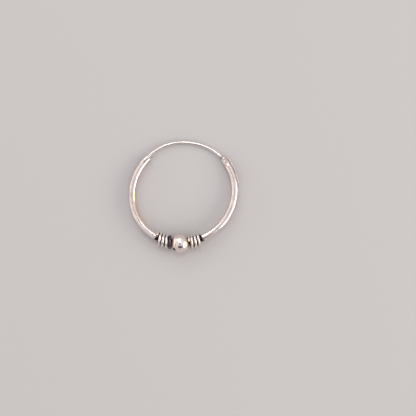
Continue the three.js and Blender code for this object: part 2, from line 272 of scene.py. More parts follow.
class HoopSilverSettings(bpy.types.PropertyGroup):
    """The colours of the silver, where it is polished, where it has darkened, and where shade and glints
    are painted.
    """

    bright: colour("Bright Silver", "Freshly rubbed sterling silver", "#f4efe9")
    # A pinkish film of tarnish, also used as a pink reflection painted down the sides.
    pink_film_and_reflection: colour("Pink Tarnish And Painted Reflection", "A pinkish film of tarnish, and a pink reflection painted down the sides", "#d8b6a5")
    # A warm colour painted as glints and highlights, not a film on the metal.
    straw: colour("Painted Warm Glint", "A warm colour painted where a warm glint is reflected", "#ecca9e")
    lilac: colour("Lilac Tarnish", "The cooler film that follows the pinkish one", "#cfc6cb")
    # Oxide and brown, and grey on the coils, also paint shade in the hinge slot, beside the coils, on the
    # coils' turn by the ball and where the ear wire leaves the nose, and a dark reflection on the ball.
    oxide: colour("Oxide", "Blackened silver in the coils' grooves", "#1f1b20")
    grey: colour("Grey Oxide", "Oxide on the coils where the cloth has just reached it", "#524c52")
    brown: colour("Brown Oxide", "Thin oxide where the blackening fades", "#6b4f45")


class HoopStageSettings(bpy.types.PropertyGroup):
    """The floor and the camera."""

    floor: colour("Floor", "Matt pale paper", "#bfbdbb")
    lens: bpy.props.FloatProperty(
        name="Lens", description="Focal length of the camera", default=119.0, unit="CAMERA"
    )
    distance: size("Distance", "Height of the camera over the floor", 252.0)
    aim_x: size("Aim X", "How far right of the earring's middle the camera aims", 4.48, lowest=-1.0)
    aim_y: size("Aim Y", "How far above the earring's middle the camera aims", -2.04, lowest=-1.0)


class HoopEarringSettings(bpy.types.PropertyGroup):
    """All the earring's sizes and colours."""

    ring: bpy.props.PointerProperty(type=HoopRingSettings)
    tube: bpy.props.PointerProperty(type=HoopTubeSettings)
    hinge: bpy.props.PointerProperty(type=HoopHingeSettings)
    wire: bpy.props.PointerProperty(type=HoopWireSettings)
    ball: bpy.props.PointerProperty(type=HoopBallSettings)
    coils: bpy.props.PointerProperty(type=HoopCoilSettings)
    silver: bpy.props.PointerProperty(type=HoopSilverSettings)
    stage: bpy.props.PointerProperty(type=HoopStageSettings)


def settings():
    """The earring's settings in this scene."""
    return bpy.context.scene.hoop_earring


# ---------------------------------------------------------------- the ring's plane

UP = np.array([0.0, 0.0, 1.0])


def unit(vectors):
    """Vectors scaled to length 1."""
    return vectors / np.linalg.norm(vectors, axis=-1, keepdims=True)


def ring_at(deg):
    """The centreline's points in some directions, and its outward normals there."""
    ring = settings().ring
    long_radius, short_radius = ring.long_radius / MM, ring.short_radius / MM
    turned = np.radians(deg) - ring.long_axis
    t = np.arctan2(long_radius * np.sin(turned), short_radius * np.cos(turned))
    flat = np.zeros(np.shape(t))
    point = np.stack([long_radius * np.cos(t), short_radius * np.sin(t), flat], -1)
    normal = unit(np.stack([short_radius * np.cos(t), long_radius * np.sin(t), flat], -1))
    c, s = math.cos(ring.long_axis), math.sin(ring.long_axis)
    turn = np.array([(c, s, 0), (-s, c, 0), (0, 0, 1)])
    return point @ turn, normal @ turn


def place(deg, out=0.0, height=0.0):
    """Points given by direction, distance outside the centreline and height."""
    point, outward = ring_at(deg)
    return point + outward * np.asarray(out)[..., None] + UP * np.asarray(height)[..., None]


def along_table(table, column, deg, ease=2.5):
    """A column read off a table at some directions, with its corners eased over some degrees."""
    offsets = np.linspace(-ease, ease, 9)
    weights = np.hanning(11)[1:-1]
    read = sum(
        weight * np.interp(deg + offset, table[:, 0], table[:, column])
        for offset, weight in zip(offsets, weights)
    )
    return read / weights.sum()


def tube_out(deg):
    """How far outside the ellipse the tube's axis runs."""
    return along_table(TUBE_STATIONS, 1, deg)


def tube_radius(deg):
    """The tube's outer radius."""
    return along_table(TUBE_STATIONS, 2, deg)


def direction_of(points):
    """Directions round the ring of points near it, between 90 and 450 degrees."""
    return (np.degrees(np.arctan2(points[..., 1], points[..., 0])) - 90) % 360 + 90


def off_the_ring(points):
    """Direction, distance outside the centreline and height of points near the ring."""
    deg = direction_of(points)
    base, outward = ring_at(deg)
    return deg, ((points - base) * outward).sum(-1), points[..., 2]


def spot_frame(spot):
    """The middle of the rivet or the ball, and the ways outward and on round the ring there."""
    deg = math.degrees(spot.direction)
    _, outward = ring_at(deg)
    return place(deg, spot.out / MM), outward, np.cross(UP, outward)


def from_rivet(points):
    """How far points are from the rivet's middle, seen square to the ring's plane."""
    centre, _, _ = spot_frame(settings().hinge)
    return np.linalg.norm((points - centre)[..., :2], axis=-1)


def lean_with_rivet(points):
    """Points made square to the ring's plane at the rivet, leant over as the rivet leans."""
    hinge = settings().hinge
    centre, _, ahead = spot_frame(hinge)
    turn = np.array(Quaternion(Vector(ahead), -hinge.lean).to_matrix())
    return (points - centre) @ turn.T + centre


def resting_up():
    """The upward direction of the flat surface that carries the ball and the tube's two ends."""
    ball = settings().ball
    mouth_foot, nose_foot = 134, 400
    feet = [(spot_frame(ball)[0], ball.radius / MM)]
    feet += [(place(deg, tube_out(deg)), tube_radius(deg)) for deg in (mouth_foot, nose_foot)]
    # The points of contact move as the surface tilts, so it is found in a few rounds.
    up = UP
    for _ in range(8):
        a, b, c = (at - up * radius for at, radius in feet)
        up = unit(np.cross(b - a, c - a))
        up = up if up[2] > 0 else -up
    return Vector(up)


def into_row_frame():
    """The matrix from the ring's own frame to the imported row's, which the hinge's place fixes."""
    lay_flat = resting_up().rotation_difference(Vector((0, 0, 1))).to_matrix().to_4x4()
    rivet = lay_flat @ Vector(spot_frame(settings().hinge)[0])
    return Matrix.Scale(MM, 4) @ Matrix.Translation(Vector(HINGE["pos_m"]) / MM - rivet) @ lay_flat


# ---------------------------------------------------------------- mesh making


def new_mesh(corners, faces):
    """A mesh from corners and faces, with its faces turned to look outwards."""
    mesh = bpy.data.meshes.new("shape")
    mesh.from_pydata(np.asarray(corners).tolist(), [], faces)
    work = bmesh.new()
    work.from_mesh(mesh)
    bmesh.ops.recalc_face_normals(work, faces=work.faces)
    work.to_mesh(mesh)
    work.free()
    return mesh


def skin(rings):
    """A closed skin over rings of corners, with flat ends."""
    steps, sides = rings.shape[:2]
    index = np.arange(steps * sides).reshape(steps, sides)
    near, far = index[:-1], index[1:]
    quads = np.stack([near, far, np.roll(far, -1, 1), np.roll(near, -1, 1)], -1).reshape(-1, 4)
    return new_mesh(rings.reshape(-1, 3), quads.tolist() + [index[0].tolist(), index[-1].tolist()])


def prism(outline, thickness):
    """A flat plate with an outline in the ring's plane, half above the plane and half below."""
    outline = np.asarray(outline)
    half = UP * thickness / 2
    return skin(np.stack([outline - half, outline + half]))


def round_angles(sides):
    """Angles spaced evenly round a section, in radians."""
    return np.linspace(0, 2 * math.pi, sides, endpoint=False)


def turned_on_rivet(profile):
    """A turned solid on the rivet's axis, from (radius, height) corners that start and end off it."""
    centre, outward, ahead = spot_frame(settings().hinge)
    around = round_angles(72)[:, None]
    spokes = np.cos(around) * outward + np.sin(around) * ahead
    rings = np.stack([centre + spokes * radius + UP * height for radius, height in profile])
    return skin(lean_with_rivet(rings))


def drum(radius, low, high):
    """A plain cylinder on the rivet's axis, between two heights."""
    return turned_on_rivet([(radius, low), (radius, high)])


def section_rings(middles, sideways, upwards, radii, sides):
    """Rings of corners round a centreline. radii is one number, one per ring, or one per corner."""
    around = round_angles(sides)[:, None]
    spokes = np.cos(around) * sideways[:, None] + np.sin(around) * upwards[:, None]
    radii = np.asarray(radii, float)
    radii = radii[:, None] if radii.ndim == 1 else radii
    return middles[:, None] + spokes * np.broadcast_to(radii, spokes.shape[:2])[..., None]


def ring_bar(start, end, steps, sides, deeper=0.0):
    """Rings of corners for a round bar along the tube's axis, so much deeper than its outside."""
    deg = np.linspace(start, end, steps)
    _, outward = ring_at(deg)
    upwards = np.broadcast_to(UP, outward.shape)
    return section_rings(place(deg, tube_out(deg)), outward, upwards, tube_radius(deg) - deeper, sides)


def shaped(mesh, modifier, **how):
    """A new mesh with one modifier applied to it. The old mesh is deleted."""
    holder = bpy.data.objects.new("holder", mesh)
    bpy.context.scene.collection.objects.link(holder)
    step = holder.modifiers.new("step", modifier)
    for name, value in how.items():
        setattr(step, name, value)
    bpy.context.view_layer.update()
    result = bpy.data.meshes.new_from_object(holder.evaluated_get(bpy.context.evaluated_depsgraph_get()))
    bpy.data.objects.remove(holder)
    bpy.data.meshes.remove(mesh)
    return result


def combined(base, operation, *others):
    """base with the other meshes joined on or cut away. All the old meshes are deleted."""
    for other in others:
        corners = len(base.vertices)
        tool = bpy.data.objects.new("tool", other)
        bpy.context.scene.collection.objects.link(tool)
        base = shaped(base, "BOOLEAN", operation=operation, solver="MANIFOLD", object=tool)
        bpy.data.objects.remove(tool)
        bpy.data.meshes.remove(other)
        if not base.polygons or len(base.vertices) == corners:
            raise RuntimeError("a cut or a join changed nothing, or left no faces")
    return base


def is_closed(mesh):
    """True if every edge has two faces."""
    work = bmesh.new()
    work.from_mesh(mesh)
    closed = all(edge.is_manifold for edge in work.edges)
    work.free()
    return closed


def merged(mesh, distance):
    """A mesh with corners and slivers closer than a distance merged, changed in place."""
    work = bmesh.new()
    work.from_mesh(mesh)
    bmesh.ops.remove_doubles(work, verts=work.verts, dist=distance)
    bmesh.ops.dissolve_degenerate(work, edges=work.edges, dist=distance)
    work.to_mesh(mesh)
    work.free()
    return mesh


def first_closed(mesh, change, amounts):
    """A mesh changed by the first of some amounts that leaves it closed. The old mesh is deleted."""
    for amount in amounts:
        result = change(mesh.copy(), amount)
        if is_closed(result):
            bpy.data.meshes.remove(mesh)
            return result
        bpy.data.meshes.remove(result)
    raise RuntimeError("a cut mesh is open")


def rounded(mesh, width, sharp_deg=32, segments=2):
    """A mesh with its slivers merged and its sharp edges rounded off, as polishing leaves them.

    Each is done as far as leaves it closed. The old mesh is deleted.
    """

    def bevelled(copy, share):
        return shaped(
            copy, "BEVEL", width=width * share, segments=segments, limit_method="ANGLE",
            angle_limit=math.radians(sharp_deg), use_clamp_overlap=True, offset_type="OFFSET",
        )

    clean = first_closed(mesh, merged, (0.014, 0.01, 0.007, 0.004, 0.002, 0.0))
    return first_closed(clean, bevelled, (1, 0.7, 0.5, 0.3, 0.0))


def vectors_of(items, field):
    """A vector field of a mesh's corners or normals, as rows."""
    flat = np.empty(len(items) * 3)
    items.foreach_get(field, flat)
    return flat.reshape(-1, 3)


def points_of(mesh):
    """A mesh's corners as rows."""
    return vectors_of(mesh.vertices, "co")


def move_points(mesh, points):
    """Puts a mesh's corners somewhere else."""
    mesh.vertices.foreach_set("co", points.ravel())
    mesh.update()


def keep_values(mesh, name, values):
    """Keeps one number, or one vector, for each corner, where the material reads it."""
    vector = values.ndim == 2
    attribute = mesh.attributes.new(name, "FLOAT_VECTOR" if vector else "FLOAT", "POINT")
    attribute.data.foreach_set("vector" if vector else "value", values.ravel().astype(np.float32))


def step_between(low, high, values):
    """0 below low, 1 above high, and a smooth step between. low may be above high."""
    share = np.clip((values - low) / (high - low), 0, 1)
    return share * share * (3 - 2 * share)


def band(stretch, values):
    """1 inside a stretch and 0 outside it, with a smooth step at each end."""
    begins, full, fades, gone = stretch
    return step_between(begins, full, values) * step_between(gone, fades, values)


def strongest(*marks):
    """The strongest of some marks at each point. A mark is how strong it is and where it lies."""
    return np.max([strength * where for strength, where in marks], 0)


def ripple(points, spacing, seed, depth=1.0):
    """Soft random waves over some points, about spacing apart and mostly within depth of 0."""
    chance = np.random.default_rng(seed)
    waves = unit(chance.normal(size=(10, 3))) * chance.uniform(0.7, 1.3, (10, 1)) * 2 * math.pi / spacing
    return np.sin(points @ waves.T + chance.uniform(0, 2 * math.pi, 10)).sum(-1) / 3.2 * depth


def keep_unrubbed_and_painted_reflection(mesh, sheltered):
    """Keeps how little a cloth rubs each corner, which also sets where a pink reflection is painted: least
    on top, all down the sides or where sheltered.
    """
    on_top = 0.3
    steep = step_between(0.75, 0.15, vectors_of(mesh.vertex_normals, "vector")[:, 2])
    keep_values(mesh, "unrubbed_and_painted_reflection", on_top + (1 - on_top) * np.maximum(steep, sheltered))


def add_piece(mesh, name, body, node, material, slot, sheltered=0.0, **marks):
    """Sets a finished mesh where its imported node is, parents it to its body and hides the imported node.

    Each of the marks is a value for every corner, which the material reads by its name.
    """
    for mark, values in marks.items():
        keep_values(mesh, mark, values)
    mesh.transform(into_row_frame())
    keep_unrubbed_and_painted_reflection(mesh, sheltered)
    mesh.update()
    mesh.name = name
    mesh.materials.clear()
    mesh.materials.append(material)
    mesh.shade_smooth()
    mesh.set_sharp_from_angle(angle=math.radians(38))
    piece = bpy.data.objects.new(name, mesh)
    bpy.context.scene.collection.objects.link(piece)
    leeway = 0.06 * MM
    points = points_of(mesh)
    low, high = (np.array(corner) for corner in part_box(node))
    if (points.min(0) < low - leeway).any() or (points.max(0) > high + leeway).any():
        raise RuntimeError(f"{name} spans {points.min(0)} to {points.max(0)}, outside {node}")
    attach(piece, body)
    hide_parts(node)


# ---------------------------------------------------------------- silver

# Spacings of the silver's patterns, in millimetres. Real wear lines are about 0.01 mm apart and
# pits 0.02 mm, too fine to show, so both are drawn five times as coarse.
WARM_PATCHES = 2.2
LILAC_PATCHES = 1.3
CLOTH_THREADS = 0.22
WEAR_LINE_LENGTH = 1.2
WEAR_LINES = 0.05
PITS = 0.1
PATTERN_RADIUS = 9.25  # about the ring's radius, for patterns that run along it


def fresh_tree(owner):
    """The node tree of a new material or world, emptied."""
    owner.use_nodes = True
    owner.node_tree.nodes.clear()
    return owner.node_tree


def add(tree, kind, inputs=None, **how):
    """A node with its settings. Each input named gets a value, a socket or a node's first output."""
    node = tree.nodes.new(kind)
    for name, value in how.items():
        setattr(node, name, value)
    for name, source in (inputs or {}).items():
        if isinstance(source, bpy.types.Node):
            source = source.outputs[0]
        if isinstance(source, bpy.types.NodeSocket):
            tree.links.new(source, node.inputs[name])
        else:
            node.inputs[name].default_value = source
    return node


def opaque(rgb):
    """A colour with its alpha."""
    return (*rgb, 1.0)


def per_mm(spacing):
    """The scale of a pattern whose features are this many millimetres apart."""
    return 1 / (spacing * MM)


def tarnished(tree, where, patina, unrubbed_and_painted_reflection, straw, film_and_painted_reflection, thin_oxide):
    """The colour of the silver under its films, and a node for how black it is."""
    colours = settings().silver
    # Films of tarnish drift over the metal in patches a millimetre or two across. The pink one is drawn
    # thickest down the sides, where fingers and cloths rub least, and there it is also a painted pink
    # reflection.
    drift = add(tree, "ShaderNodeTexNoise", {"Vector": where, "Scale": per_mm(WARM_PATCHES), "Detail": 3.0})
    patches = add(
        tree, "ShaderNodeMapRange",
        {"Value": drift, "From Min": 0.35, "From Max": 0.68, "To Min": 0.6 * film_and_painted_reflection, "To Max": film_and_painted_reflection},
    )
    pink_film_and_reflection = add(tree, "ShaderNodeMath", {0: patches, 1: unrubbed_and_painted_reflection}, operation="MULTIPLY", use_clamp=True)
    drift = add(
        tree, "ShaderNodeTexNoise",
        {"Vector": where, "Scale": per_mm(LILAC_PATCHES), "Detail": 2.0, "Distortion": 0.4},
    )
    lilac = add(
        tree, "ShaderNodeMapRange",
        {"Value": drift, "From Min": 0.5, "From Max": 0.75, "To Max": 0.8 * film_and_painted_reflection},
    )
    # The threads of a polishing cloth leave the blackening with a ragged edge, brown where thin.
    threads = add(
        tree, "ShaderNodeTexNoise", {"Vector": where, "Scale": per_mm(CLOTH_THREADS), "Detail": 3.0}
    )
    ragged = add(tree, "ShaderNodeMath", {0: threads, 1: 0.5}, operation="SUBTRACT")
    frayed = add(tree, "ShaderNodeMath", {0: ragged, 1: 0.55, 2: patina}, operation="MULTIPLY_ADD")
    browned, blackened = (
        add(
            tree, "ShaderNodeMapRange", {"Value": frayed, "From Min": none, "From Max": full},
            interpolation_type="SMOOTHSTEP",
        )
        for none, full in ((0.12, 0.5), (0.4, 0.8))
    )
    tone = opaque(colours.bright)
    for share, tarnish in (
        (pink_film_and_reflection, colours.pink_film_and_reflection),
        (lilac, colours.lilac),
        (straw, colours.straw),
        (browned, thin_oxide or colours.brown),
        (blackened, colours.oxide),
    ):
        layer = add(tree, "ShaderNodeMix", {0: share, 6: tone, 7: opaque(tarnish)}, data_type="RGBA")
        tone = layer.outputs[2]
    return tone, blackened


def worn(tree, where, lay, unrubbed_and_painted_reflection, rough, grain, lines):
    """Nodes for how dull the polished silver is, and for its surface, pitted and scored by wear."""
    # Wear lines run along the piece and dull it in streaks. Cloths don't reach down the sides,
    # which stay up to 2.3 times as dull as the crest.
    stretched = add(
        tree, "ShaderNodeVectorMath",
        {0: lay, 1: (1 / WEAR_LINE_LENGTH, 1 / WEAR_LINES, 1 / WEAR_LINES)}, operation="MULTIPLY",
    )
    wear = add(tree, "ShaderNodeTexNoise", {"Vector": stretched, "Scale": 1.0, "Detail": 2.0})
    streaked = add(
        tree, "ShaderNodeMapRange",
        {"Value": wear, "From Min": 0.3, "From Max": 0.75, "To Min": 0.7 * rough, "To Max": 1.45 * rough},
    )
    duller = add(
        tree, "ShaderNodeMapRange", {"Value": unrubbed_and_painted_reflection, "From Min": 0.5, "To Min": 1.0, "To Max": 2.3}
    )
    dulled = add(tree, "ShaderNodeMath", {0: streaked, 1: duller}, operation="MULTIPLY")
    pits = add(tree, "ShaderNodeTexNoise", {"Vector": where, "Scale": per_mm(PITS), "Detail": 2.0})
    pitted = add(tree, "ShaderNodeBump", {"Height": pits, "Strength": 1.0, "Distance": grain * MM})
    scored = add(
        tree, "ShaderNodeBump",
        {"Height": wear, "Strength": 1.0, "Distance": lines * MM, "Normal": pitted},
    )
    return dulled, scored


def silver(name, *, film_and_painted_reflection, rough, oxide_rough, grain, lines, thin_oxide=None):
    """Sterling silver, solid metal that takes a bright polish and then darkens.

    The eye sees the room in it, warmed a little by a thin film of tarnish and by a pink reflection
    painted down the sides, with warm glints painted where marked, broken by fine wear lines along
    the piece, and gone brown then black in the hollows that a cloth can't reach and where shade is
    painted. film_and_painted_reflection is how much of it the pink and lilac tint covers, rough the
    roughness where it is polished and oxide_rough where it is black, and grain and lines the depths
    in millimetres of the pitting and the wear lines. thin_oxide is the colour where the black fades,
    brown unless given.
    """
    material = bpy.data.materials.new(name)
    tree = fresh_tree(material)
    where = add(tree, "ShaderNodeTexCoord").outputs["Object"]
    lay = add(tree, "ShaderNodeAttribute", attribute_name="lay").outputs["Vector"]
    patina, unrubbed_and_painted_reflection, straw = (
        add(tree, "ShaderNodeAttribute", attribute_name=mark).outputs["Fac"]
        for mark in ("patina", "unrubbed_and_painted_reflection", "straw")
    )
    tone, blackened = tarnished(tree, where, patina, unrubbed_and_painted_reflection, straw, film_and_painted_reflection, thin_oxide)
    dulled, scored = worn(tree, where, lay, unrubbed_and_painted_reflection, rough, grain, lines)
    roughness = add(tree, "ShaderNodeMix", {0: blackened, 2: dulled, 3: oxide_rough}, data_type="FLOAT")
    surface = add(
        tree, "ShaderNodeBsdfPrincipled",
        {"Base Color": tone, "Metallic": 1.0, "Roughness": roughness, "Normal": scored},
    )
    add(tree, "ShaderNodeOutputMaterial", {"Surface": surface})
    return material


# ---------------------------------------------------------------- hoop tube


def beyond_nose():
    """Everything past the rounded nose."""
    tube = settings().tube
    centre, outward, ahead = spot_frame(settings().hinge)
    turn = np.radians(np.linspace(90, -90, 49))
    forward = np.concatenate([np.cos(turn) * tube.nose_radius / MM, [0, REACH, REACH, 0]])
    out = np.concatenate([
        (tube.nose_out + np.sin(turn) * tube.nose_radius) / MM,
        [-REACH, -REACH, REACH, REACH],
    ])
    return prism(centre + forward[:, None] * ahead + out[:, None] * outward, 2 * REACH)


def beyond_mouth():
    """Everything past the slanted cut of the mouth."""
    tube = settings().tube
    outer, inner = math.degrees(tube.mouth_outer), math.degrees(tube.mouth_inner)
    tube_width, past = 1.3, 12
    middle = (outer + inner) / 2
    slant = (outer - inner) / tube_width
    corners = [
        place(middle - slant * REACH, -REACH),
        place(middle + slant * REACH, REACH),
        place(middle - past, REACH),
        place(middle - past, -REACH),
    ]
    return prism(corners, 2 * REACH)


def outer_cut(start, end, width):
    """A saw cut through the tube's outer wall, from its middle outwards."""
    deg = np.linspace(start, end, 25)
    return prism(np.concatenate([place(deg), place(deg, REACH)[::-1]]), width)


def spread_lip():
    """The spread lower edge of the hinge slot, a flattened ridge that grows towards the nose."""
    root_out, root_height, steps, sides = 0.38, -0.44, 150, 28
    deg = np.linspace(LIP_REACH[0, 0], LIP_REACH[-1, 0], steps)
    half_width = (along_table(LIP_REACH, 1, deg, ease=0.5) - root_out) / 2
    half_thickness = settings().tube.lip_thickness / MM / 2
    around = round_angles(sides)
    out = root_out + half_width[:, None] * (1 + np.sin(around))
    return skin(place(deg[:, None], out, root_height + half_thickness * np.cos(around)))


def mouth_split():
    """The short split that the tube has opened along its top, just inside the mouth."""
    steps, widest, narrowest = 24, 0.032, 0.002
    deg = np.linspace(136.3, 142.2, steps)
    swell = np.sin(np.linspace(0.05, math.pi, steps) ** 0.9).clip(0, 1)
    half_width = widest * np.sqrt(swell) + narrowest
    top, depth, foot = tube_radius(deg) + 0.1, 0.17, 0.35
    corners = [
        place(deg, tube_out(deg) + side * half_width, height)
        for side, height in ((-1, top), (1, top), (foot, top - depth), (-foot, top - depth))
    ]
    return skin(np.stack(corners, 1))


def tube_outside():
    """The tube's outside before it is cut: bent all along, crimped at the nose, pressed at the mouth."""
    rings = ring_bar(129.8, 404.4, steps=560, sides=72)
    deg = direction_of(rings)
    away = unit(rings - place(deg, tube_out(deg)))
    bends = ripple(rings * (1, 1, 0.4), 5.0, seed=3, depth=0.006)
    crimps = ripple(rings, 0.5, seed=11, depth=0.009) * step_between(384, 391, deg)
    presses = ripple(rings, 1.5, seed=5, depth=0.012) * step_between(150, 138, deg)
    return skin(rings + away * (bends + crimps + presses)[..., None])


def hoop_tube_mesh():
    """The tube, bored, with its ends cut, its slots sawn and the rivet's seats sunk."""
    tube, hinge = settings().tube, settings().hinge
    before_mouth, past_nose, pocket_radius, seat_floor = 125, 409, 0.47, 0.585
    bore = skin(ring_bar(before_mouth, past_nose, steps=300, sides=48, deeper=tube.wall / MM))
    latch_start = math.degrees(tube.mouth_inner) - OVERRUN
    latch_end = math.degrees(tube.mouth_outer + tube.latch_slot)
    latch_slot = outer_cut(latch_start, latch_end, tube.latch_slot_width / MM)
    hinge_slot = outer_cut(math.degrees(tube.hinge_slot_end), past_nose, tube.hinge_slot_width / MM)
    move_points(hinge_slot, lean_with_rivet(points_of(hinge_slot)))
    half_slot = tube.hinge_slot_width / MM / 2
    pocket = drum(pocket_radius, -half_slot, half_slot)
    shank_hole = drum((hinge.shank_radius + hinge.turning_gap) / MM, -REACH, REACH)
    seat = (hinge.head_radius + hinge.seat_gap) / MM
    seats = [drum(seat, way * seat_floor, way * REACH) for way in (1, -1)]
    mesh = combined(tube_outside(), "UNION", spread_lip())
    mesh = combined(mesh, "DIFFERENCE", bore, beyond_nose(), beyond_mouth(), latch_slot, hinge_slot, pocket)
    mesh = combined(mesh, "DIFFERENCE", shank_hole, *seats, mouth_split())
    return rounded(mesh, tube.edge / MM)


def tube_patina(points):
    """How dark the tube is drawn at some points, from 0 to 1: oxide and grime, with painted shade in the
    hinge slot and beside the coils.
    """
    deg, out, height = off_the_ring(points)
    out = out - tube_out(deg)
    from_middle, upper = np.abs(out), height > 0
    bore = step_between(0.06, 0.1, tube_radius(deg) - np.hypot(out, height))
    # The black runs out from under the left coil along a slant, and from the right one in a wedge; it is
    # oxide together with painted shade where the coils and the ball shade the tube.
    left_edge = step_between(237.5, 240.5, deg + 1.5 * out) * step_between(250, 245, deg)
    wedge = step_between(295.5, 291.5, deg + 4.5 * (0.6 - out)) * step_between(280, 285, deg)
    seat = step_between(0.29, 0.265, from_rivet(points))
    # The slot's lower lip is darkened near its root: painted shade inside the hinge slot.
    slot = step_between(370, 371, deg) * step_between(0.4, 0.3, np.abs(height))
    slot *= band((0.2, 0.4, 0.6, 0.74), out)
    # Grime lies in the split and in the crimps at the nose, and the crest is drawn a little darker for a
    # way behind the mouth.
    split = band(SPLIT, deg) * step_between(0.05, 0.03, from_middle) * upper
    crest_darkening = band(CREST_DARKENING, deg) * step_between(0.16, 0.03, from_middle) * upper
    mottle = step_between(386, 391, deg) * step_between(-0.1, 0.6, ripple(points, 0.5, seed=71))
    mottle *= upper & (out < 0.5)
    return strongest(
        (0.8, bore), (1.0, band(UNDER_COILS, deg)), (0.75, left_edge), (1.0, wedge), (0.75, seat),
        (0.9, slot), (0.9, split), (0.2, crest_darkening), (0.22, mottle),
    )


def tube_straw(points):
    """Where a warm glint is painted on the tube: a painted reflection on its inner side, and a painted
    highlight by the slot's lip.
    """
    deg, out, height = off_the_ring(points)
    inner_side = band(PAINTED_GLINT_INNER_SIDE, deg) * step_between(-0.1, -0.4, out)
    lip = band(PAINTED_GLINT_BY_SLOT, deg) * step_between(0.25, 0.45, out)
    return strongest((0.75, inner_side), (0.35, lip)) * (height > 0)


def lay_along_ring(points, seam_deg):
    """How far points are along the ring and across it, in millimetres, for lines that follow it.

    seam_deg is a direction that the piece doesn't cross.
    """
    deg, out, height = off_the_ring(points)
    return np.stack([np.radians((deg - seam_deg) % 360) * PATTERN_RADIUS, out, height], -1)


class HOOP_OT_tube(bpy.types.Operator):
    """Make the hollow tube, from its open mouth to its hinged nose"""

    bl_idname = "hoop.tube"
    bl_label = "Hoop Tube"

    def execute(self, context):
        mesh = hoop_tube_mesh()
        points = points_of(mesh)
        # A long mirror down the crest, softened by fine lines, with a pinkish film and a painted pink
        # reflection down the sides.
        material = silver(
            "Sterling silver tube, drawn and hand polished", film_and_painted_reflection=0.8, rough=0.17, oxide_rough=0.42,
            grain=0.0012, lines=0.0022,
        )
        add_piece(
            mesh, "tube", "hoop", "hoop_tube", material, "tube_silver",
            patina=tube_patina(points), straw=tube_straw(points), lay=lay_along_ring(points, 90),
        )
        return {"FINISHED"}


# ---------------------------------------------------------------- hinge rivet


def rivet_mesh():
    """The rivet, a shank whose two heads have a rounded shoulder and a punch mark."""
    hinge = settings().hinge
    shank, head = hinge.shank_radius / MM, hinge.head_radius / MM
    rim, crown, underside = hinge.head_rim / MM, hinge.head_crown / MM, 0.6
    upper = [
        # From the shank out to the rim.
        (shank, underside), (head, underside), (head, rim - 0.012),
        # Over the shoulder.
        (head - 0.004, rim), (head - 0.012, rim + 0.008), (head - 0.03, rim + 0.016),
        # Across the crown and into the punch mark.
        (0.19, crown - 0.008), (0.16, crown), (0.13, crown - 0.002), (0.105, crown - 0.012),
        (0.085, crown - 0.034), (0.05, crown - 0.05), (0.02, crown - 0.055),
    ]
    lower = [(radius, -height) for radius, height in reversed(upper)]
    return turned_on_rivet(lower + upper)


class HOOP_OT_rivet(bpy.types.Operator):
    """Make the rivet that the ear wire turns on, with a punched head at each end"""

    bl_idname = "hoop.rivet"
    bl_label = "Hinge Rivet"

    def execute(self, context):
        mesh = rivet_mesh()
        points = points_of(mesh)
        # A small disc that a file has left duller than the tube, with a dark dot where it was punched.
        material = silver(
            "Sterling silver rivet, filed flush", film_and_painted_reflection=0.5, rough=0.24, oxide_rough=0.45,
            grain=0.002, lines=0.002,
        )
        add_piece(
            mesh, "rivet", "hoop", "hinge_rivet", material, "tube_silver",
            patina=step_between(0.105, 0.06, from_rivet(points)) * 0.85, lay=points,
        )
        return {"FINISHED"}


# ---------------------------------------------------------------- ear wire


def smooth_route(points, count):
    """Points evenly spaced along a smooth curve through the given ones."""
    points = np.vstack([2 * points[0] - points[1], points, 2 * points[-1] - points[-2]])
    t = np.linspace(0, 1, 24, endpoint=False)[:, None]
    pieces = [
        0.5 * (2 * b + (c - a) * t + (2 * a - 5 * b + 4 * c - d) * t**2 + (3 * b - a - 3 * c + d) * t**3)
        for a, b, c, d in zip(points, points[1:], points[2:], points[3:])
    ]
    dense = np.vstack([*pieces, points[-2]])
    run = np.concatenate([[0], np.cumsum(np.linalg.norm(np.diff(dense, axis=0), axis=1))])
    at = np.linspace(0, run[-1], count)
    return np.stack([np.interp(at, run, dense[:, i]) for i in range(3)], -1)


def pinched(deg, around):
    """How much the pliers have thinned the ear wire, as a share of its radius, round each ring."""
    marks = np.zeros((len(deg), len(around)))
    for at, width, depth, side in WIRE_PINCHES:
        nearness = np.exp(-(((deg - at) / width) ** 2))[:, None]
        marks += depth * nearness * np.clip(np.cos(around - math.radians(side)), 0, 1) ** 2
    return marks


def wire_bar():
    """The ear wire without its eye: a round wire with plier marks and a rounded tip."""
    wire = settings().wire
    radius, tip = wire.radius / MM, wire.tip_radius / MM
    steps, taper, sides = 420, 12, 48
    middles = smooth_route(place(WIRE_ROUTE[:, 0], WIRE_ROUTE[:, 1]), steps)
    ahead = unit(np.gradient(middles, axis=0))
    # The last rings close in a dome past the end of the route.
    dome = np.radians(np.linspace(0, 88, 14)[1:])
    middles = np.vstack([middles, middles[-1] + ahead[-1] * tip * np.sin(dome)[:, None]])
    ahead = np.vstack([ahead, np.repeat(ahead[-1:], len(dome), 0)])
    radii = np.concatenate([
        np.full(steps - taper, radius),
        np.linspace(radius, tip, taper),
        tip * np.cos(dome),
    ])
    sideways, upwards = np.cross(ahead, UP), np.broadcast_to(UP, ahead.shape)
    waves = ripple(section_rings(middles, sideways, upwards, radius, sides), 2.4, seed=23, depth=0.012)
    marks = pinched(direction_of(middles) % 360, round_angles(sides))
    return skin(section_rings(middles, sideways, upwards, radii[:, None] * (1 - marks + waves), sides))


def ear_wire_mesh():
    """The ear wire with its flattened eye, which is bored for the rivet."""
    wire, hinge = settings().wire, settings().hinge
    eye, half, edge = wire.eye_radius / MM, wire.eye_thickness / MM / 2, 0.05
    profile = [(eye - edge, -half), (eye, edge - half), (eye, half - edge), (eye - edge, half)]
    mesh = combined(wire_bar(), "UNION", turned_on_rivet(profile))
    mesh = combined(mesh, "DIFFERENCE", drum((hinge.shank_radius + hinge.turning_gap) / MM, -1, 1))
    return rounded(mesh, width=0.015)


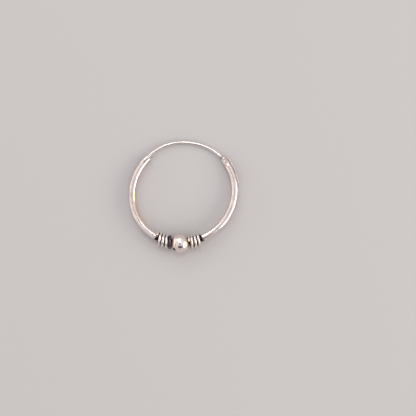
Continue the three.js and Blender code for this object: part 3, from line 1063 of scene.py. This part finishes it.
def wire_patina(points):
    """How dark the ear wire is drawn at some points: painted shade where it leaves the nose, and grime in
    the plier marks.
    """
    deg = direction_of(points) % 360
    return strongest((0.32, step_between(45.5, 43, deg)), (0.1, band(PLIER_MARKS, deg)))


class HOOP_OT_ear_wire(bpy.types.Operator):
    """Make the ear wire, from its eye on the rivet to its rounded tip"""

    bl_idname = "hoop.ear_wire"
    bl_label = "Ear Wire"

    def execute(self, context):
        mesh = ear_wire_mesh()
        points = points_of(mesh)
        # The brightest piece, because going through the ear keeps it rubbed.
        material = silver(
            "Sterling silver wire, drawn and polished", film_and_painted_reflection=0.35, rough=0.14, oxide_rough=0.4,
            grain=0.001, lines=0.0018,
        )
        add_piece(
            mesh, "wire", "wire", "ear_wire", material, "wire_silver",
            patina=wire_patina(points), lay=lay_along_ring(points, 0),
        )
        return {"FINISHED"}


# ---------------------------------------------------------------- ball


def ball_mesh():
    """A hollow ball whose two holes follow the tube."""
    ball = settings().ball
    centre, outward, along = spot_frame(ball)
    radius = ball.radius / MM
    # The poles are where the holes go, so the seam of the two half shells is a ring of corners.
    tilt = np.radians(np.linspace(0, 180, 97))[1:-1, None]
    around = round_angles(144)
    spokes = (
        np.cos(tilt)[..., None] * along
        + (np.sin(tilt) * np.cos(around))[..., None] * outward
        + (np.sin(tilt) * np.sin(around))[..., None] * UP
    )
    seam_width, seam_depth, dent_depth, inset = 0.035, 0.012, 0.022, 0.006
    seam = np.exp(-((np.cos(tilt) * radius / seam_width) ** 2)) * seam_depth
    # Shallow waves from pressing, and a dent wherever a finer wave dips below -0.8.
    presses = ripple(spokes * radius, 1.9, seed=41, depth=0.008)
    dents = presses + np.minimum(ripple(spokes * radius, 0.9, seed=43) + 0.8, 0) * dent_depth
    outer = skin(centre + spokes * (radius - inset + dents - seam)[..., None])
    inner = skin(centre + spokes[::3, ::3] * (radius - ball.wall / MM))
    deg = math.degrees(ball.direction)
    half = math.degrees(math.asin(ball.radius / settings().ring.short_radius)) + OVERRUN
    channel = skin(ring_bar(deg - half, deg + half, steps=60, sides=96, deeper=-ball.clearance / MM))
    return rounded(combined(outer, "DIFFERENCE", inner, channel), width=0.03, segments=3)


def ball_marks(points):
    """How black, where a warm glint is painted and how sheltered from a cloth the ball is at some points.
    """
    ball = settings().ball
    centre, outward, along = spot_frame(ball)
    away = unit(points - centre)
    to_coils = np.abs(away @ along)

    def near(along_share, out_share, up_share):
        return away @ unit(along_share * along + out_share * outward + up_share * UP)

    shell_depth = ball.radius / MM - np.linalg.norm(points - centre, axis=-1)
    black = strongest(
        (0.9, step_between(0.962, 0.99, to_coils)),  # round the holes
        (0.9, step_between(0.05, 0.12, shell_depth)),  # inside
        # The patch on the outer left is a painted dark reflection.
        (0.62, step_between(0.96, 0.995, near(-0.62, 0.62, 0.42))),  # a patch on the outer left
        (0.8, step_between(0.9972, 0.9988, near(-0.5, 0.2, 0.84))),  # a speck nearer the crest
    )
    # A warm glint is painted in a patch on the side towards the right coil, as a painted reflection.
    painted_glint_patch = step_between(0.93, 0.985, near(0.78, -0.18, 0.6)) * 0.7
    return {"patina": black, "straw": painted_glint_patch, "sheltered": step_between(0.52, 0.72, to_coils)}


class HOOP_OT_ball(bpy.types.Operator):
    """Make the hollow ball that sits between the coils"""

    bl_idname = "hoop.ball"
    bl_label = "Ball"

    def execute(self, context):
        mesh = ball_mesh()
        points = points_of(mesh)
        # A mirror of the whole room with soft dents in it, duller where the coils shelter it. A buff
        # leaves fainter lines than a cloth, drawn four times as long and as far apart.
        material = silver(
            "Sterling silver ball, pressed and buffed", film_and_painted_reflection=0.6, rough=0.22, oxide_rough=0.4,
            grain=0.002, lines=0.0006,
        )
        add_piece(
            mesh, "ball", "hoop", "bead", material, "bead_silver", lay=points * 0.25, **ball_marks(points)
        )
        return {"FINISHED"}


# ---------------------------------------------------------------- coils


def coil_route(plan, wound):
    """Points along a coil's wire, and the middle of the coil beside each."""
    coils, ball = settings().coils, settings().ball
    turned = np.radians(-plan["side"] * wound)
    away = along_table(plan["route"], 1, wound, ease=20) - plan["lean"] * np.cos(turned)
    ball_deg = math.degrees(ball.direction)
    ring_radius = np.linalg.norm(ring_at(ball_deg)[0])
    deg = ball_deg + plan["side"] * np.degrees(away / ring_radius)
    helix = coils.helix_radius / MM
    middle_out = tube_out(deg) + coils.out / MM
    return place(deg, middle_out + helix * np.cos(turned), helix * np.sin(turned)), place(deg, middle_out)


def coil_mesh(plan):
    """A wound wire with slightly rounded ends, and the marks on it."""
    coils = settings().coils
    wire = coils.wire_radius / MM
    sides, edge, step_deg = 28, 0.09, 4
    first, last = plan["route"][[0, -1], 0]
    edge_deg = math.degrees(edge / (coils.helix_radius / MM))
    corner = np.radians(np.linspace(0, 90, 7))
    start = first + edge_deg * (1 - np.sin(corner))[::-1]
    steps = int((last - first) / step_deg)
    middle = np.linspace(first + edge_deg, last - edge_deg, steps)[1:-1]
    wound = np.concatenate([start, middle, last + first - start[::-1]])
    end = 1 - edge / wire * (1 - np.cos(corner))[::-1]
    scale = np.concatenate([end, np.ones(len(middle)), end[::-1]])
    middles, core = coil_route(plan, wound)
    ahead = unit(np.gradient(middles, wound, axis=0))
    outwards = middles - core
    outwards = unit(outwards - ahead * (outwards * ahead).sum(-1, keepdims=True))
    rings = section_rings(middles, outwards, np.cross(ahead, outwards), wire * scale, sides)
    bumps = ripple(rings, 1.1, seed=61 + plan["side"], depth=0.006)
    rings = rings + unit(rings - middles[:, None]) * bumps[..., None]
    # The cloth has rubbed the crests bright. The grooves stay black with oxide, and the last turn, by the
    # ball, is darkened as oxide and as painted shade from the ball.
    around = round_angles(sides)
    grooves = step_between(0.62, 0.15, np.cos(around))
    last_turn = step_between(last - 330, last - 250, wound) * plan["dark_turn"]
    patina = np.clip(grooves + last_turn[:, None], 0, 1)
    # Wear lines run along the wire, where a radian of winding is about a millimetre.
    lay = np.zeros((*patina.shape, 3))
    lay[..., 0], lay[..., 1] = np.radians(wound)[:, None], around * wire
    return skin(rings), {"patina": patina.ravel(), "lay": lay.reshape(-1, 3)}


class HOOP_OT_coils(bpy.types.Operator):
    """Make the two coils of round wire, one on each side of the ball"""

    bl_idname = "hoop.coils"
    bl_label = "Coils"

    def execute(self, context):
        # Bright crests between black grooves, grey where the black is half rubbed off and on the turn by
        # the ball, where shade is painted too.
        material = silver(
            "Oxidised sterling silver wire, wound and rubbed back", film_and_painted_reflection=0.3, rough=0.16,
            oxide_rough=0.4, grain=0.0015, lines=0.002, thin_oxide=settings().silver.grey,
        )
        for node, plan in COILS.items():
            mesh, marks = coil_mesh(plan)
            add_piece(mesh, node.replace("coil", "winding"), "hoop", node, material, "coil_silver", **marks)
        return {"FINISHED"}


# ---------------------------------------------------------------- stage, in metres

FLOOR_WIDTH = 2.4
SENSOR_WIDTH = 36.0  # of the camera, in millimetres
ROOM_BRIGHTNESS = 1.02

# The lights: azimuth and elevation in degrees, distance, width and height, watts, and tint.
# A wide window stands low on the right, another across the table, a lamp hangs overhead, and
# a long pale wall is low on the left.
SOFTBOXES = {
    "window": (-14, 24, 0.5, 0.48, 0.22, 1.15, "#fff8ee"),
    "far window": (110, 34, 0.6, 0.4, 0.18, 0.5, "#f6f6ff"),
    "ceiling lamp": (84, 68, 0.6, 0.2, 0.1, 0.4, "#ffffff"),
    "wall": (172, 13, 0.6, 0.9, 0.14, 0.5, "#ffe9dc"),
}

# Darker things that the silver mirrors: azimuth and elevation in degrees, distance, width and
# height, and tone.
CARDS = {
    "dark side of the room": (-86, 45, 0.5, 0.5, 0.32, "#4c302e"),
    "camera hood": (180, 88, 0.26, 0.12, 0.1, "#a49ca6"),
}

# In millimetres. A paper's tooth is really about 0.1, too fine to show.
PAPER_TOOTH = 0.5


def paper():
    """Matt art paper: pale, soft and without shine, with a faint tooth."""
    material = bpy.data.materials.new("Matt paper")
    tree = fresh_tree(material)
    where = add(tree, "ShaderNodeTexCoord").outputs["Object"]
    tooth = add(
        tree, "ShaderNodeTexNoise", {"Vector": where, "Scale": per_mm(PAPER_TOOTH), "Detail": 3.0}
    )
    floor = settings().stage.floor
    shaded = [0.96 * channel for channel in floor]
    tone = add(
        tree, "ShaderNodeMix", {0: tooth, 6: opaque(shaded), 7: opaque(floor)}, data_type="RGBA"
    )
    surface = add(tree, "ShaderNodeBsdfPrincipled", {"Base Color": tone.outputs[2], "Roughness": 0.9})
    add(tree, "ShaderNodeOutputMaterial", {"Surface": surface})
    return material


def matt_card(tone):
    """Matt card, which the silver mirrors as one flat dark tone."""
    material = bpy.data.materials.new("Matt card")
    tree = fresh_tree(material)
    surface = add(
        tree, "ShaderNodeBsdfPrincipled", {"Base Color": opaque(linear(tone)), "Roughness": 1.0}
    )
    add(tree, "ShaderNodeOutputMaterial", {"Surface": surface})
    return material


def room():
    """The room round the stage, dim at the skirting and pale at the ceiling."""
    world = bpy.data.worlds.new("room")
    tree = fresh_tree(world)
    skirting, ceiling = opaque(linear("#c6bcba")), opaque(linear("#efebef"))
    way = add(tree, "ShaderNodeTexCoord").outputs["Generated"]
    height = add(tree, "ShaderNodeSeparateXYZ", {"Vector": way}).outputs["Z"]
    share = add(
        tree, "ShaderNodeMapRange", {"Value": height, "From Min": 0.0, "From Max": 0.75},
        interpolation_type="SMOOTHSTEP",
    )
    tone = add(tree, "ShaderNodeMix", {0: share, 6: skirting, 7: ceiling}, data_type="RGBA")
    lit = add(tree, "ShaderNodeBackground", {"Color": tone.outputs[2], "Strength": ROOM_BRIGHTNESS})
    add(tree, "ShaderNodeOutputWorld", {"Surface": lit})
    return world


def sheet(name, width, height, material):
    """A flat sheet that belongs to the stage."""
    corners = [(x * width / 2, y * height / 2, 0) for x, y in ((-1, -1), (1, -1), (1, 1), (-1, 1))]
    thing = bpy.data.objects.new(name, new_mesh(corners, [(0, 1, 2, 3)]))
    thing.data.materials.append(material)
    bpy.context.scene.collection.objects.link(thing)
    return thing


def place_facing(thing, azimuth, elevation, distance):
    """Puts something in a direction from the earring, facing it. Azimuth 0 is along +X."""
    a, e = math.radians(azimuth), math.radians(elevation)
    toward = Vector((math.cos(a) * math.cos(e), math.sin(a) * math.cos(e), math.sin(e)))
    low, high = CAD_BOX
    thing.location = (Vector(low) + Vector(high)) / 2 + toward * distance
    thing.rotation_euler = toward.to_track_quat("Z", "Y").to_euler()


def softbox(name, azimuth, elevation, distance, width, height, watts, tint):
    """A soft light that the camera doesn't see."""
    lamp = bpy.data.lights.new(name, "AREA")
    lamp.shape, lamp.size, lamp.size_y = "RECTANGLE", width, height
    lamp.energy, lamp.color = watts, linear(tint)
    light = bpy.data.objects.new(name, lamp)
    place_facing(light, azimuth, elevation, distance)
    light.visible_camera = False
    bpy.context.scene.collection.objects.link(light)


def card(name, azimuth, elevation, distance, width, height, tone):
    """A matt card that only reflections see."""
    flag = sheet(name, width, height, matt_card(tone))
    place_facing(flag, azimuth, elevation, distance)
    flag.visible_camera = flag.visible_diffuse = flag.visible_shadow = False


def camera_above(middle, table_height):
    """The camera, looking straight down."""
    stage = settings().stage
    camera = bpy.data.cameras.new("camera")
    camera.lens, camera.sensor_width = stage.lens, SENSOR_WIDTH
    camera.clip_start, camera.clip_end = 0.01, 10.0
    viewer = bpy.data.objects.new("camera", camera)
    viewer.location = (middle.x + stage.aim_x, middle.y + stage.aim_y, table_height + stage.distance)
    bpy.context.scene.collection.objects.link(viewer)
    return viewer


class HOOP_OT_stage(bpy.types.Operator):
    """Set up the floor, the soft lights and the camera"""

    bl_idname = "hoop.stage"
    bl_label = "Stage"

    def execute(self, context):
        low, high = (Vector(corner) for corner in CAD_BOX)
        sheet("floor", FLOOR_WIDTH, FLOOR_WIDTH, paper()).location.z = low.z
        for name, row in SOFTBOXES.items():
            softbox(name, *row)
        for name, row in CARDS.items():
            card(name, *row)
        scene = context.scene
        scene.world = room()
        scene.camera = camera_above((low + high) / 2, low.z)
        scene.view_settings.view_transform = "Standard"
        return {"FINISHED"}


# ---------------------------------------------------------------- panel and run

STEPS = (HOOP_OT_tube, HOOP_OT_rivet, HOOP_OT_ear_wire, HOOP_OT_ball, HOOP_OT_coils, HOOP_OT_stage)


class HOOP_PT_panel(bpy.types.Panel):
    """The earring's pieces and settings"""

    bl_idname = "HOOP_PT_panel"
    bl_label = "Hinged Hoop Earring"
    bl_space_type = "VIEW_3D"
    bl_region_type = "UI"
    bl_category = "Hoop Earring"

    def draw(self, context):
        earring = context.scene.hoop_earring
        for step in STEPS:
            self.layout.operator(step.bl_idname)
        for group in earring.__annotations__:
            box = self.layout.box()
            box.label(text=group.title())
            values = getattr(earring, group)
            for name in values.__annotations__:
                box.prop(values, name)


GROUPS = (
    HoopRingSettings,
    HoopTubeSettings,
    HoopHingeSettings,
    HoopWireSettings,
    HoopBallSettings,
    HoopCoilSettings,
    HoopSilverSettings,
    HoopStageSettings,
    HoopEarringSettings,
)


def register():
    for item in (*GROUPS, *STEPS, HOOP_PT_panel):
        bpy.utils.register_class(item)
    bpy.types.Scene.hoop_earring = bpy.props.PointerProperty(type=HoopEarringSettings)


def unregister():
    del bpy.types.Scene.hoop_earring
    for item in reversed((*GROUPS, *STEPS, HOOP_PT_panel)):
        bpy.utils.unregister_class(item)


def main():
    register()
    bpy.ops.hoop.tube()
    bpy.ops.hoop.rivet()
    bpy.ops.hoop.ear_wire()
    bpy.ops.hoop.ball()
    bpy.ops.hoop.coils()
    bpy.ops.hoop.stage()


if __name__ == "__main__":
    main()
